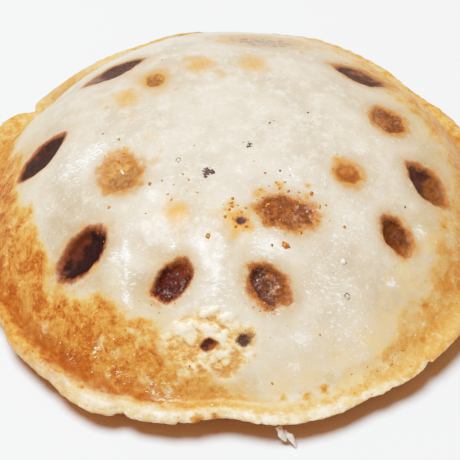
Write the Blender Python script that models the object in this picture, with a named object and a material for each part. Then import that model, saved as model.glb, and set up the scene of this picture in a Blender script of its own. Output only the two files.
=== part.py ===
# A griddled coconut pancake: one domed round of dough inside a thin brim, with scorched pits
# in its slope, and a flake of coconut that hangs from the front of the brim.
# Metres, +Z up. It rests on a flat spot at z = 0, and the front faces -Y.
# Bearings are in degrees from +X, counter-clockwise seen from above.

from math import atan2, cos, degrees, exp, hypot, pi, radians, sin, sqrt

import bmesh
import bpy
from mathutils import Vector, noise

MM = 0.001

# the round
BRIM_RADIUS = 45.1 * MM
FOOT_RADIUS = 40.6 * MM  # where the dome meets the groove
FOOT_HEIGHT = 5.0 * MM
HEIGHT = 23.4 * MM
DOME_POWER = 3.3  # higher is flatter on top and steeper at the foot
FLAT_RADIUS = 17.0 * MM  # the spot it rests on
LIFT = 3.0 * MM  # the brim's lower edge above the floor
UNDERSIDE_POWER = 1.6
BRIM_WAVE = 0.35 * MM
BRIM_WAVES = ((3, 40, 1.0), (7, 0, 0.6))  # waves all round, turn in degrees, share
OUTLINE_GRIP = 6  # higher keeps the outline's unevenness nearer the edge
LUMP = 0.25 * MM  # how uneven the dome is
LUMP_SIZE = 9.0 * MM
LUMPS_FROM = 8.0 * MM  # the top inside this is smooth
SPOKES = 112
DOME_RINGS = 26
UNDERSIDE_RINGS = 6

# the brim, from the foot of the dome outwards and round to the underside
BRIM_SECTION = (
    (41.5 * MM, 4.75 * MM),
    (42.4 * MM, 4.70 * MM),
    (43.4 * MM, 4.70 * MM),
    (44.4 * MM, 4.60 * MM),
    (45.1 * MM, 4.10 * MM),
    (45.0 * MM, 3.50 * MM),
    (44.3 * MM, LIFT),
)

# where a groove parts the brim from the dome: bearing, half width in degrees, share of its depth
GROOVES = (
    (226, 38, 1.0),
    (132, 14, 0.7),
    (95, 20, 0.8),
)
GROOVE_PLACE = 41.5 * MM
GROOVE_DEPTH = 0.55 * MM
GROOVE_REACH = 0.8 * MM
CREST_PLACE = 43.6 * MM
CREST_HEIGHT = 0.9 * MM
CREST_REACH = 1.3 * MM

# where the dome is fuller: bearing, half width in degrees, amount, place down the slope, reach
FULL_SIDE = (30, 60, 1.6 * MM, 35.5 * MM, 5.5 * MM)
# where the brim is thinner from below: bearing, half width in degrees, amount
THIN_SIDE = (-50, 50, 0.7 * MM)
BRIM_TOP = 4.7 * MM

# where the brim bulges out or draws in: bearing, half width in degrees, reach
BULGES = (
    (42, 7, -0.8 * MM),
    (71, 17, 1.7 * MM),
    (100, 8.5, 1.4 * MM),
    (139, 21, -1.5 * MM),
    (145, 1.8, -1.7 * MM),  # the split in the brim
    (154, 7, 1.7 * MM),
    (211, 6.5, -1.8 * MM),
    (242, 9, 1.6 * MM),
    (249, 1.4, -0.9 * MM),  # a nick
    (269, 6.5, -2.0 * MM),
    (298, 4.6, -0.6 * MM),
)

# scorched pits: bearing, distance from the middle, length, width, turn from straight uphill, depth
PITS = (
    (177, 31.0 * MM, 10.6 * MM, 6.3 * MM, -28, 1.1 * MM),
    (220, 30.8 * MM, 9.0 * MM, 6.1 * MM, 4, 1.3 * MM),
    (252, 28.6 * MM, 6.8 * MM, 4.3 * MM, 25, 1.3 * MM),
    (282, 28.8 * MM, 6.8 * MM, 5.4 * MM, -31, 1.2 * MM),
    (328, 30.5 * MM, 7.0 * MM, 5.1 * MM, 12, 1.0 * MM),
    (351, 31.6 * MM, 8.2 * MM, 7.6 * MM, -61, 1.2 * MM),
    (15, 26.9 * MM, 7.2 * MM, 6.6 * MM, -50, 0.7 * MM),
    (42.5, 29.3 * MM, 8.6 * MM, 6.2 * MM, 66, 1.1 * MM),
    (79, 29.5 * MM, 13.0 * MM, 6.0 * MM, 80, 1.0 * MM),
    (132.5, 29.6 * MM, 9.8 * MM, 7.0 * MM, -82, 1.2 * MM),
    (206, 19.0 * MM, 7.4 * MM, 6.3 * MM, 99, 0.6 * MM),
    (297.5, 19.0 * MM, 8.5 * MM, 5.8 * MM, -56, 0.4 * MM),
    (337, 20.5 * MM, 4.5 * MM, 4.1 * MM, 70, 0.4 * MM),
    (132, 18.6 * MM, 4.6 * MM, 3.5 * MM, 39, 0.3 * MM),
)
PIT_FLOOR = 0.55  # how much of a pit is floor
PIT_LIP = 1.25  # where its wall ends, just past its oval
HOLLOW_REACH = 5.6 * MM  # the soft hollow round each pit
HOLLOW_SHARE = 0.75  # its depth, as a share of the pit's

# hollows where the dough didn't brown: bearing, distance, depth
PALE_HOLLOWS = (
    (307, 28.9 * MM, 0.5 * MM),
    (315.5, 35.7 * MM, 0.5 * MM),
)

# the coconut flake, as two prongs: points from the brim down, with the half width at each
FLAKE_PRONGS = (
    (
        (7.6 * MM, -44.4 * MM, 2.80 * MM, 0.42 * MM),
        (7.8 * MM, -44.7 * MM, 2.20 * MM, 0.55 * MM),
        (8.2 * MM, -45.0 * MM, 1.60 * MM, 0.45 * MM),
        (8.6 * MM, -45.2 * MM, 1.00 * MM, 0.12 * MM),
    ),
    (
        (8.5 * MM, -44.6 * MM, 2.30 * MM, 0.30 * MM),
        (9.0 * MM, -44.8 * MM, 2.00 * MM, 0.55 * MM),
        (9.4 * MM, -45.1 * MM, 1.40 * MM, 0.42 * MM),
        (9.8 * MM, -45.5 * MM, 0.80 * MM, 0.25 * MM),
        (10.0 * MM, -45.8 * MM, 0.30 * MM, 0.12 * MM),
    ),
)
FLAKE_THINNESS = 0.6  # its thickness, as a share of its width
FLAKE_SLOPE = 45  # how steeply its face lies, in degrees


def clear_scene():
    for old in list(bpy.data.objects):
        bpy.data.objects.remove(old, do_unlink=True)


def make_material(name, color, roughness):
    material = bpy.data.materials.new(name)
    material.use_nodes = True
    shader = material.node_tree.nodes["Principled BSDF"]
    shader.inputs["Base Color"].default_value = (*color, 1)
    shader.inputs["Roughness"].default_value = roughness
    shader.inputs["Metallic"].default_value = 0
    return material


def blend(low, high, value):
    share = min(max((value - low) / (high - low), 0), 1)
    return share * share * (3 - 2 * share)


def swell(bearing, middle, half_width):
    """1 at the middle bearing, falling smoothly to 0 on either side of it."""
    away = (bearing - middle + 180) % 360 - 180
    return exp(-((away / half_width) ** 2))


def bearing_of(point):
    return degrees(atan2(point.y, point.x))


def outline_radius(bearing):
    return BRIM_RADIUS + sum(
        reach * swell(bearing, middle, half_width) for middle, half_width, reach in BULGES
    )


def dome_height(radius):
    rise = HEIGHT - FOOT_HEIGHT
    return FOOT_HEIGHT + rise * (1 - (radius / FOOT_RADIUS) ** DOME_POWER)


def section_points():
    """The section of the round, from the middle of the top to the middle of the underside."""
    points = []
    for ring in range(DOME_RINGS):
        share = ring / (DOME_RINGS - 1)
        radius = FOOT_RADIUS * share * (1.35 - 0.35 * share)  # closer together down the steep side
        points.append((radius, dome_height(radius)))
    points.extend(BRIM_SECTION)
    for ring in range(1, UNDERSIDE_RINGS):
        share = 1 - ring / UNDERSIDE_RINGS
        radius = FLAT_RADIUS + (BRIM_SECTION[-1][0] - FLAT_RADIUS) * share
        points.append((radius, LIFT * share**UNDERSIDE_POWER))
    points.append((FLAT_RADIUS, 0))
    points.append((FLAT_RADIUS / 2, 0))
    points.append((0, 0))
    return points


def spin_section(mesh, points):
    verts = [mesh.verts.new((radius, 0, height)) for radius, height in points]
    edges = [mesh.edges.new(pair) for pair in zip(verts, verts[1:])]
    bmesh.ops.spin(
        mesh,
        geom=verts + edges,
        cent=(0, 0, 0),
        axis=(0, 0, 1),
        angle=2 * pi,
        steps=SPOKES,
        use_merge=True,
    )
    bmesh.ops.remove_doubles(mesh, verts=mesh.verts, dist=0.001 * MM)
    bmesh.ops.recalc_face_normals(mesh, faces=mesh.faces)


def fullness(bearing, radius):
    middle, half_width, amount, place, reach = FULL_SIDE
    return amount * swell(bearing, middle, half_width) * exp(-(((radius - place) / reach) ** 2))


def brim_relief(bearing, radius):
    """How far the top of the brim stands above the plain section, at its groove and its crest."""
    share = min(sum(part * swell(bearing, mid, half) for mid, half, part in GROOVES), 1)
    groove = GROOVE_DEPTH * exp(-(((radius - GROOVE_PLACE) / GROOVE_REACH) ** 2))
    crest = CREST_HEIGHT * exp(-(((radius - CREST_PLACE) / CREST_REACH) ** 2))
    return share * (crest - groove)


def shape_round(mesh):
    """Fills out one side of the dome, presses the groove in and thins the brim from below."""
    mesh.normal_update()
    ways = {vert: vert.normal.copy() for vert in mesh.verts}
    thin_middle, thin_half_width, thinning = THIN_SIDE
    for vert, way in ways.items():
        radius = hypot(vert.co.x, vert.co.y)
        bearing = bearing_of(vert.co)
        thin = thinning * swell(bearing, thin_middle, thin_half_width)
        thin *= min(max((BRIM_TOP - vert.co.z) / (BRIM_TOP - LIFT), 0), 1)
        vert.co.z += thin * blend(FLAT_RADIUS, BRIM_RADIUS, radius)
        if way.z > 0:
            vert.co += way * fullness(bearing, radius)
            vert.co.z += brim_relief(bearing, radius)


def make_outline_uneven(mesh):
    """Draws the brim in and out, and waves it up and down. The resting spot stays flat."""
    for vert in mesh.verts:
        radius = hypot(vert.co.x, vert.co.y)
        bearing = bearing_of(vert.co)
        share = (radius / BRIM_RADIUS) ** OUTLINE_GRIP
        wave = sum(part * sin(radians(count * bearing + turn)) for count, turn, part in BRIM_WAVES)
        vert.co.z += BRIM_WAVE * wave * blend(FLAT_RADIUS, BRIM_RADIUS, radius)
        vert.co.xy *= 1 + (outline_radius(bearing) / BRIM_RADIUS - 1) * share


def spot_on_dome(bearing, distance):
    """A point on the dome, with the way uphill there and the way round."""
    turn = radians(bearing)
    outward = Vector((cos(turn), sin(turn), 0))
    step = 0.1 * MM
    fall = (dome_height(distance - step) - dome_height(distance + step)) / (2 * step)
    uphill = Vector((-outward.x, -outward.y, fall)).normalized()
    around = Vector((-outward.y, outward.x, 0))
    up = Vector((fall * outward.x, fall * outward.y, 1)).normalized()
    spot = outward * distance + Vector((0, 0, dome_height(distance)))
    return spot + up * fullness(bearing, distance), uphill, around


def pit_depth(point, pit):
    bearing, distance, length, width, turn, depth = pit
    spot, uphill, around = spot_on_dome(bearing, distance)
    away = point - spot
    along = away.dot(uphill) * cos(radians(turn)) + away.dot(around) * sin(radians(turn))
    across = away.dot(around) * cos(radians(turn)) - away.dot(uphill) * sin(radians(turn))
    oval = sqrt((2 * along / length) ** 2 + (2 * across / width) ** 2)
    hollow = HOLLOW_SHARE * exp(-((away.length / HOLLOW_REACH) ** 2))
    return depth * (1 - blend(PIT_FLOOR, PIT_LIP, oval) + hollow)


def dent_depth(point):
    depth = sum(pit_depth(point, pit) for pit in PITS)
    for bearing, distance, deepest in PALE_HOLLOWS:
        away = point - spot_on_dome(bearing, distance)[0]
        depth += deepest * exp(-((away.length / HOLLOW_REACH) ** 2))
    return depth


def shape_dome(mesh):
    """Presses the pits and their hollows in along the surface, and makes the dome a little lumpy."""
    mesh.normal_update()
    ways = {vert: vert.normal.copy() for vert in mesh.verts}
    for vert, way in ways.items():
        radius = hypot(vert.co.x, vert.co.y)
        if way.z <= 0 or radius > FOOT_RADIUS:
            continue
        lump = LUMP * noise.noise(vert.co / LUMP_SIZE) * blend(LUMPS_FROM, FOOT_RADIUS, radius)
        vert.co += way * (lump - dent_depth(vert.co))


def make_pancake():
    mesh = bmesh.new()
    spin_section(mesh, section_points())
    shape_round(mesh)
    make_outline_uneven(mesh)
    shape_dome(mesh)
    data = bpy.data.meshes.new("pancake")
    mesh.to_mesh(data)
    mesh.free()
    data.shade_smooth()
    pancake = bpy.data.objects.new("pancake", data)
    bpy.context.collection.objects.link(pancake)
    data.materials.append(make_material("griddled dough", (0.80, 0.66, 0.47), 0.5))
    return pancake


def make_prong(name, points):
    """A tapering strand of coconut along its points, as a closed mesh."""
    curve = bpy.data.curves.new(name, "CURVE")
    curve.dimensions = "3D"
    curve.bevel_depth = 1
    curve.bevel_resolution = 2
    curve.use_fill_caps = True
    strand = curve.splines.new("POLY")
    strand.points.add(len(points) - 1)
    for place, (x, y, z, half_width) in zip(strand.points, points):
        place.co = (x, y, z, 1)
        place.radius = half_width
    prong = bpy.data.objects.new(name, curve)
    bpy.context.collection.objects.link(prong)
    solid = bpy.data.meshes.new_from_object(prong)
    bpy.data.objects.remove(prong)
    prong = bpy.data.objects.new(name, solid)
    bpy.context.collection.objects.link(prong)
    return prong


def flatten(prong, middle):
    """Thins a prong, about the sloping plane through the flake's middle."""
    facing = Vector((0, -cos(radians(FLAKE_SLOPE)), sin(radians(FLAKE_SLOPE))))
    for vert in prong.data.vertices:
        vert.co -= facing * (vert.co - middle).dot(facing) * (1 - FLAKE_THINNESS)


def make_flake():
    flake, second = [
        make_prong(f"coconut_prong_{number}", points)
        for number, points in enumerate(FLAKE_PRONGS, 1)
    ]
    middle = Vector(FLAKE_PRONGS[0][1][:3])
    for prong in (flake, second):
        flatten(prong, middle)
    flake.name = "coconut_flake"
    join = flake.modifiers.new("Second prong", "BOOLEAN")
    join.operation = "UNION"
    join.object = second
    second.hide_render = True
    second.display_type = "WIRE"
    flake.data.materials.append(make_material("coconut", (0.85, 0.80, 0.70), 0.4))
    return flake, second


def centre(round_of_dough, others):
    """Puts the middle of the box round the pancake and its flake at x = 0 and y = 0."""
    corners = [vert.co for item in (round_of_dough, *others) for vert in item.data.vertices]
    middle_x = (min(c.x for c in corners) + max(c.x for c in corners)) / 2
    middle_y = (min(c.y for c in corners) + max(c.y for c in corners)) / 2
    for item in (round_of_dough, *others):
        for vert in item.data.vertices:
            vert.co.x -= middle_x
            vert.co.y -= middle_y


clear_scene()
dough = make_pancake()
centre(dough, make_flake())
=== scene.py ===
from math import atan2, cos, degrees, exp, hypot, pi, radians, sin, sqrt
from random import Random

import bmesh
import bpy
from mathutils import Matrix, Vector, geometry, noise
from mathutils.bvhtree import BVHTree
from mathutils.kdtree import KDTree


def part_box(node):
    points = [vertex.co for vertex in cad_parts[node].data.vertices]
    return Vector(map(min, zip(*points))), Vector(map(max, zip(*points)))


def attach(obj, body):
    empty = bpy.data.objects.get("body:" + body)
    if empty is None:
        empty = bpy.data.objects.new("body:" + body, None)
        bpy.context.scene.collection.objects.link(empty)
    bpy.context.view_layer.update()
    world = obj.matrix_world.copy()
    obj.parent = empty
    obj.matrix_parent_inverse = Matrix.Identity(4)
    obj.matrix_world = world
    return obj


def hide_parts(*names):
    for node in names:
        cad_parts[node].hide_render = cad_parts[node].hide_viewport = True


# A griddled coconut pancake. Shapes are worked out in millimetres and scaled to metres at the end.
# Bearings are in degrees from +X, counter-clockwise from above; the front faces -Y.

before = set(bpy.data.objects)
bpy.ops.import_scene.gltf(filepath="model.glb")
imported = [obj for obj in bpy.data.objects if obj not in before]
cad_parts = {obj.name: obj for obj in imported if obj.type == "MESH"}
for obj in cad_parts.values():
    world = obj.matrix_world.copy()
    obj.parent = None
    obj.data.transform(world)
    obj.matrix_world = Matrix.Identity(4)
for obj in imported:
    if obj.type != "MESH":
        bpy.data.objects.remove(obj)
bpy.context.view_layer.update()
print("frame loaded:", ", ".join(sorted(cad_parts)))

toMetres = 0.001

roundShape = {
    "brimRadius": 45.1,
    "footRadius": 40.6,  # where the dome meets the groove
    "footHeight": 5.0,
    "height": 23.25,
    "domePower": 3.3,
    "flatRadius": 17.0,
    "lift": 3.0,  # the brim's lower edge above the floor
    "undersidePower": 1.6,
    "brimTop": 4.7,
    "wave": 0.35,
    "waves": ((3, 40, 1.0), (7, 0, 0.6)),
    "outlineGrip": 6,
    "lump": 0.25,
    "lumpSize": 9.0,
    "lumpsFrom": 8.0,
    "spokes": 380,
    "domeRings": 84,
    "ringCrowding": 0.35,  # how much closer the rings stand at the foot
    "brimSteps": 4,
    "undersideRings": 14,
    "brim": ((41.5, 4.75), (42.4, 4.7), (43.4, 4.7), (44.4, 4.6), (45.1, 4.1), (45.0, 3.5), (44.3, 3.0)),
    # bearing, half width, amount, distance and reach of each fuller place
    "fullSides": ((30, 60, 1.6, 35.5, 5.5), (95, 50, 0.9, 33, 8)),
    "thinSide": (-55, 45, 0.7),
    "softFoot": (-38, 62, 4.4),  # bearing, half width, height over which dome and brim run together
    "softFall": 0.28,
    "raisedSides": ((85, 60, 0.8), (-30, 40, 0.7)),  # bearing, half width, lift of the brim
    "raisedFrom": (32, 42),
    "toMiddle": (-0.04, -0.07, 0),  # sets the uneven round on the frame's own middle
}

groove = {
    "stretches": ((226, 38, 1.0), (132, 14, 0.7), (95, 20, 0.8)),  # bearing, half width, share
    "place": 41.5,
    "depth": 0.4,
    "reach": 0.9,
    "crestPlace": 43.6,
    "crestHeight": 0.75,
    "crestReach": 1.3,
    "creaseDepth": 0.16,
    "creaseReach": 0.5,
}

# where the brim bulges out or draws in: bearing, half width in degrees, reach
bulges = (
    (42, 7, -0.8), (71, 17, 1.7), (100, 8.5, 1.25), (139, 21, -1.5), (145, 1.8, -1.7), (154, 7, 1.7),
    (211, 6.5, -1.8), (242, 9, 1.6), (249, 1.4, -0.9), (269, 6.5, -2), (298, 4.6, -0.6), (283, 36, 0.5),
)

# nicks torn in the edge: bearing, width in degrees to one side, depth
nicks = (
    (232, 4, 0.25), (247.5, 2.2, 0.4), (260, 2, 0.35), (264, 2, 0.35), (276, 2, 0.3), (303.4, 4, 0.3),
    (313.7, -3, 0.55), (335, 5, 0.3), (20, 5, 0.3), (152, 2.5, 0.5), (158, 2.5, 0.5), (163, 2.5, 0.4),
    (110, 6, 0.3),
)

nickSteepness = 0.12  # the torn side's share of a nick's width

# the torn rim: where it starts and is full, how far it draws in, and the ripples in it
rim = {
    "grip": (43.2, 44.9),
    "back": 0.18,
    "ripples": ((2.0, 0.14), (0.7, 0.13)),  # size, amount
    "frays": (0.45, 0.1),
    "rise": (1.1, 0.12),
}


def blend(low, high, value):
    share = min(max((value - low) / (high - low), 0), 1)
    return share * share * (3 - 2 * share)


def hump(away, reach):
    # 1 in the middle, falling smoothly to nothing beyond the reach
    return exp(-((away / reach) ** 2))


def swell(bearing, middle, halfWidth):
    return hump((bearing - middle + 180) % 360 - 180, halfWidth)


def ripples(place, *parts):
    # smooth noise, the sum of one or more sizes, each with its amount
    return sum(amount * noise.noise(place / size) for size, amount in parts)


def bearingOf(point):
    return degrees(atan2(point.y, point.x)) % 360


def readTable(table, bearing):
    # smooth between the two nearest entries
    for (start, low), (end, high) in zip(table, table[1:]):
        if start <= bearing <= end:
            return low + (high - low) * blend(start, end, bearing)
    return table[0][1]


def outlineRadius(bearing):
    return roundShape["brimRadius"] + sum(reach * swell(bearing, mid, half) for mid, half, reach in bulges)


def domeHeight(radius):
    foot = roundShape["footHeight"]
    fallen = (radius / roundShape["footRadius"]) ** roundShape["domePower"]
    return foot + (roundShape["height"] - foot) * (1 - fallen)


def domeSlope(radius):
    return (domeHeight(radius - 0.1) - domeHeight(radius + 0.1)) / 0.2


def fullness(bearing, radius):
    # how far the dome stands out beyond its plain curve
    return sum(
        amount * swell(bearing, middle, halfWidth) * hump(radius - place, reach)
        for middle, halfWidth, amount, place, reach in roundShape["fullSides"]
    )


def outOfDome(point, radius):
    # the way out of the plain dome, turning upright over the brim
    slope = domeSlope(min(max(radius, 1), roundShape["footRadius"])) * (1 - blend(40, 45, radius))
    outward = Vector((point.x, point.y, 0)).normalized()
    return (outward * slope + Vector((0, 0, 1))).normalized()


def grooveShare(bearing):
    return min(sum(part * swell(bearing, mid, half) for mid, half, part in groove["stretches"]), 1)


def spotOnDome(bearing, distance):
    # the point on the dome, with the ways uphill, around and out of the surface
    turn = radians(bearing)
    outward = Vector((cos(turn), sin(turn), 0))
    fall = domeSlope(distance)
    uphill = Vector((-outward.x, -outward.y, fall)).normalized()
    around = Vector((-outward.y, outward.x, 0))
    up = Vector((fall * outward.x, fall * outward.y, 1)).normalized()
    spot = outward * distance + Vector((0, 0, domeHeight(distance)))
    return spot + up * fullness(bearing, distance), uphill, around, up


def spotOnTop(bearing, distance):
    # the same on the brim too, where it is taken as level
    if distance < roundShape["footRadius"] - 0.2:
        return spotOnDome(bearing, distance)[0]
    turn = radians(bearing)
    return Vector((cos(turn) * distance, sin(turn) * distance, roundShape["brimTop"]))


def makeSection():
    # (radius, height, path): path runs 0 to 1 down the dome, to 2 over the brim and to 3 underneath
    rings, crowding = roundShape["domeRings"], roundShape["ringCrowding"]
    section = []
    for ring in range(rings):
        share = ring / (rings - 1)
        radius = roundShape["footRadius"] * share * (1 + crowding - crowding * share)
        section.append((radius, domeHeight(radius), share))
    under = []
    for ring in range(1, roundShape["undersideRings"] + 1):
        share = 1 - ring / roundShape["undersideRings"]
        radius = roundShape["flatRadius"] + (roundShape["brim"][-1][0] - roundShape["flatRadius"]) * share
        height = roundShape["lift"] * share ** roundShape["undersidePower"]
        under.append((radius, height, 3 - share))
    corners = [section[-2][:2], section[-1][:2], *roundShape["brim"], under[0][:2]]
    corners = [Vector(corner) for corner in corners]
    steps = roundShape["brimSteps"]
    spans = len(corners) - 3
    for span in range(spans):
        before, start, end, after = corners[span:span + 4]
        handles = start + (end - before) / 6, end - (after - start) / 6
        curve = geometry.interpolate_bezier(start, *handles, end, steps + 1)
        for step, point in enumerate(curve[1:], 1):
            section.append((point.x, point.y, 1 + (span + step / steps) / spans))
    return section + under + [(roundShape["flatRadius"] / 2, 0, 3), (0, 0, 3)]


def spinSection(bm):
    plain = bm.verts.layers.float.new("plainRadius")
    path = bm.verts.layers.float.new("path")
    verts = []
    for radius, height, along in makeSection():
        vert = bm.verts.new((radius, 0, height))
        vert[plain], vert[path] = radius, along
        verts.append(vert)
    edges = [bm.edges.new(pair) for pair in zip(verts, verts[1:])]
    bmesh.ops.spin(
        bm, geom=verts + edges, cent=(0, 0, 0), axis=(0, 0, 1), angle=2 * pi,
        steps=roundShape["spokes"], use_merge=True,
    )
    bmesh.ops.remove_doubles(bm, verts=bm.verts, dist=0.0005)
    bmesh.ops.recalc_face_normals(bm, faces=bm.faces)


def shapeRound(bm):
    # fills out two sides of the dome, presses the groove in and thins the brim from below
    bm.normal_update()
    ways = [vert.normal.copy() for vert in bm.verts]
    middle, halfWidth, thinning = roundShape["thinSide"]
    softMiddle, softHalfWidth, soft = roundShape["softFoot"]
    foot, top = roundShape["footHeight"], roundShape["brimTop"]
    for vert, way in zip(bm.verts, ways):
        radius, bearing = hypot(vert.co.x, vert.co.y), bearingOf(vert.co)
        share = (top - vert.co.z) / (top - roundShape["lift"])
        thin = thinning * swell(bearing, middle, halfWidth) * min(max(share, 0), 1)
        vert.co.z += thin * blend(roundShape["flatRadius"], roundShape["brimRadius"], radius)
        if way.z > 0:
            level = max(foot - roundShape["softFall"] * (radius - roundShape["footRadius"]), top)
            near = max(1 - abs(domeHeight(radius) - level) / soft, 0)
            vert.co += outOfDome(vert.co, radius) * fullness(bearing, radius)
            vert.co.z += soft / 4 * near * near * swell(bearing, softMiddle, softHalfWidth)
            off = radius - groove["place"]
            crease = hump(off - ripples(vert.co, (5, 0.35)), groove["creaseReach"])
            deep = groove["depth"] * hump(off, groove["reach"])
            deep += groove["creaseDepth"] * crease * (1 + ripples(vert.co, (2, 1.2)))
            crest = groove["crestHeight"] * hump(radius - groove["crestPlace"], groove["crestReach"])
            vert.co.z += grooveShare(bearing) * (crest - deep)


def nickDepth(bearing):
    # each nick is torn steep on one side and runs out gently on the other
    deepest = 0
    for middle, width, depth in nicks:
        away = ((bearing - middle + 180) % 360 - 180) / width
        if -nickSteepness < away < 1:
            steep = min(1 + away / nickSteepness, 1)
            deepest = max(deepest, depth * steep * (1 - max(away, 0)) ** 1.5)
    return deepest


def makeOutlineUneven(bm):
    for vert in bm.verts:
        radius, bearing = hypot(vert.co.x, vert.co.y), bearingOf(vert.co)
        share = (radius / roundShape["brimRadius"]) ** roundShape["outlineGrip"]
        wave = sum(part * sin(radians(count * bearing + turn)) for count, turn, part in roundShape["waves"])
        raised = sum(part * swell(bearing, mid, half) for mid, half, part in roundShape["raisedSides"])
        lift = roundShape["wave"] * wave + raised * blend(*roundShape["raisedFrom"], radius)
        vert.co.z += lift * blend(roundShape["flatRadius"], roundShape["brimRadius"], radius)
        vert.co.xy *= 1 + (outlineRadius(bearing) / roundShape["brimRadius"] - 1) * share


def tearEdge(bm):
    # the rim of the brim is nicked and a little rough
    plain, path = bm.verts.layers.float["plainRadius"], bm.verts.layers.float["path"]
    for vert in bm.verts:
        grip = blend(*rim["grip"], vert[plain]) if vert[path] > 1 else 0
        if grip > 0:
            rough = ripples(vert.co, *rim["ripples"]) + abs(ripples(vert.co, rim["frays"]))
            outward = Vector((vert.co.x, vert.co.y, 0)).normalized()
            vert.co += outward * grip * (rough - rim["back"] - nickDepth(bearingOf(vert.co)))
            size, amount = rim["rise"]
            vert.co.z += grip * amount * noise.noise(vert.co / size + Vector((9, 0, 0)))


# Scorched pits. "at" is the bearing and distance, "turn" the angle from uphill to the pit's length,
# "lit" the bearing of the side that shows the second tone, "bias" how far over that tone starts,
# "edge" how ragged it is, "point" how pointed its ends are, "grit" how grainy inside, and "crisp"
# how sharply the rim's colour ends.
pitColumns = (
    "at", "size", "turn", "depth", "floor", "second", "rim", "lit", "bias", "edge", "point", "grit",
    "halo", "crisp",
)
pits = [dict(zip(pitColumns, row)) for row in (
    ((176.4, 31.2), (10.8, 5.7), -29, 0.7, (68, 40, 34), (104, 48, 20), (150, 74, 20), 120, 0.6, 0.05, 1.6,
     0.05, 0.3, 1),
    ((220.6, 30.8), (10, 5.8), 5, 1.3, (46, 4, 0), (108, 44, 8), (140, 66, 16), 130, 0.3, 0.15, 2, 0.05,
     0.9, 0.75),
    ((252, 28.6), (7.2, 4.6), 25, 1.3, (96, 24, 8), (146, 70, 16), (152, 80, 24), 50, 0.5, 0.16, 2.2, 0.8,
     0.9, 1),
    ((282, 28.8), (7.2, 5.6), -31, 1.2, (116, 66, 52), (172, 104, 42), (176, 104, 40), 20, 0.1, 0.26, 2, 1,
     1, 0.8),
    ((328.8, 31), (6.6, 4.8), 12, 1, (122, 62, 14), (156, 92, 36), (180, 110, 40), -40, 0.35, 0.2, 2, 0.4,
     0.8, 0.7),
    ((352.8, 32.3), (9.2, 6.1), 22, 1.2, (92, 52, 42), (146, 88, 34), (176, 108, 44), 0, 0.05, 0.12, 1.6,
     0.1, 0.7, 0.8),
    ((15.4, 27), (6.8, 6.2), -50, 0.5, (150, 90, 42), (192, 130, 68), (196, 136, 66), 200, 0.2, 0.26, 2,
     0.6, 0.8, 0.6),
    ((41.6, 29.4), (9.6, 6), 52, 0.45, (98, 66, 56), (156, 108, 76), (178, 128, 84), 60, 0.4, 0.12, 1.6,
     0.1, 0.9, 0.7),
    ((78.4, 28.3), (13.6, 6.6), 78, 0.35, (196, 176, 158), (206, 184, 160), (212, 180, 138), 80, 0.7, 0.25,
     1.6, 0.1, 0.7, 0.5),
    ((134.6, 28), (11.4, 5.8), -62, 0.45, (98, 68, 60), (150, 118, 104), (176, 124, 78), 180, 0.6, 0.1, 1.4,
     0.1, 0.5, 1),
    ((205.5, 19.1), (7.2, 6.2), 99, 0.6, (174, 124, 72), (206, 150, 86), (190, 122, 52), 110, 0.1, 0.28, 2,
     0, 0.7, 0.4),
    ((297.5, 19), (8.9, 6), -56, 0.4, (156, 90, 34), (192, 128, 66), (192, 120, 46), -80, 0.5, 0.24, 2.2,
     0.9, 0.8, 0.7),
    ((337, 20.5), (4.7, 4.2), 70, 0.4, (168, 100, 42), (188, 122, 58), (206, 146, 78), 110, 0.2, 0.3, 2, 0,
     0.8, 0.4),
    ((132, 18.6), (4.6, 3.5), 39, 0.3, (168, 112, 56), (190, 136, 76), (206, 160, 100), 45, 0.1, 0.25, 2,
     0.3, 0.6, 0.5),
    ((264.7, 35.2), (2.5, 1.8), 90, 0.3, (88, 34, 8), (150, 78, 20), (184, 114, 44), -30, 0.5, 0.5, 2, 0.2,
     0.5, 0.7),
    ((273.8, 34.6), (2.5, 2.1), 90, 0.3, (108, 78, 64), (150, 100, 56), (160, 116, 66), 60, 0.3, 0.6, 2, 1,
     0.5, 0.5),
    ((275, 18.8), (1.6, 1.3), 90, 0.15, (92, 64, 68), (140, 84, 44), (170, 100, 46), 180, 0.6, 0.4, 2, 1,
     0.3, 0.4),
)]
pitWalls = {
    "floor": 0.6,  # where the wall starts and ends, as shares of the pit's size
    "lip": 1.15,
    "hollowReach": 5.6,  # the soft dent round a pit
    "hollowShare": 0.75,
    "smallest": 3,  # pits shorter than this leave no dent
    "haloReach": (0.9, 2.0),
    "ragged": ((1.7, 1), (0.65, 0.4)),
    "grain": ((0.9, 1), (0.45, 0.5)),
    "grainHeight": (0.04, 0.12),  # on a smooth floor, and added on a gritty one
}

# painted shade in hollows and on the left and back, where the dough is also thinner and greyer: bearing,
# distance, reach, strength
shades = (
    (243, 29.8, 2.8, 0.8), (208, 30, 3, 0.65), (201, 26.3, 4, 0.4), (267, 29, 1.8, 0.35),
    (340, 33, 3.2, 0.4), (4, 31.5, 4.5, 0.45), (295, 29.5, 2.4, 0.4), (263, 26, 1.4, 0.3),
    (232, 26.5, 2, 0.4), (20, 33, 3, 0.35), (297, 33.5, 3, 0.2), (228, 28.5, 3.4, 0.5),
    (214, 31, 3, 0.5), (230, 32, 2.2, 0.65), (287, 30.6, 2, 0.6), (250, 21.8, 4.4, 0.85),
    (267, 21.6, 4, 0.8), (243, 24.5, 3, 0.6), (160, 43, 6, 0.4), (136, 42, 6, 0.55), (97, 44, 9, 0.6),
    (76, 43, 7, 0.5), (190, 38, 5, 0.35), (171, 34, 4.5, 0.5), (163, 31, 4, 0.3),
)

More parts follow.
